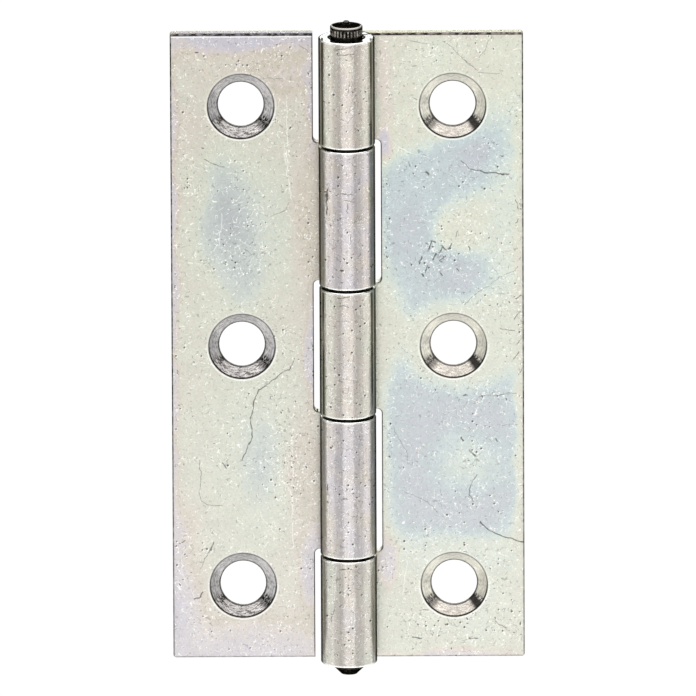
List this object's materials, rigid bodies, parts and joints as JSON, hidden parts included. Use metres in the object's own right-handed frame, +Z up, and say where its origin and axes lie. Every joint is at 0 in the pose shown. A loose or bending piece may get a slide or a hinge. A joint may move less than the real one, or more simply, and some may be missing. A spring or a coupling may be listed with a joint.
{
  "type": "door hinge",
  "caption": "Rectangular sheet-steel butt hinge: paired leaves with countersunk screw holes, interlocking rolled knuckles and a removable knurled pin on which a door swings.",
  "frame": {"origin": "on the pin's axis, half-way up the leaves, with the hinge open flat", "axes": "+Z up along the pin towards its knurled head, +X across the frame leaf, -Y out of the countersunk faces"},
  "size_m": [0.041, 0.0066, 0.0784],
  "materials": {
    "zinc_frame_leaf": "bright zinc plating with pale yellow-green and blue tints, handling scratches",
    "zinc_door_leaf": "bright zinc plating with pale cream and lavender tints, handling scratches",
    "dark_pin_steel": "dark gunmetal steel, satin, straight knurl worn bright on its tips"
  },
  "bodies": {
    "frame_leaf": {"frame_leaf": "zinc_frame_leaf"},
    "door_leaf": {"door_leaf": "zinc_door_leaf"},
    "hinge_pin": {"hinge_pin": "dark_pin_steel"}
  },
  "joints": [
    {"name": "door_swing", "type": "hinge", "parent": "frame_leaf", "child": "door_leaf", "pos_m": [0, 0, 0], "axis": [0, 0, 1], "range_deg": [-95, 189]},
    {"name": "pin_draw", "type": "slide", "parent": "frame_leaf", "child": "hinge_pin", "axis": [0, 0, 1], "range_m": [0, 0.078]}
  ]
}
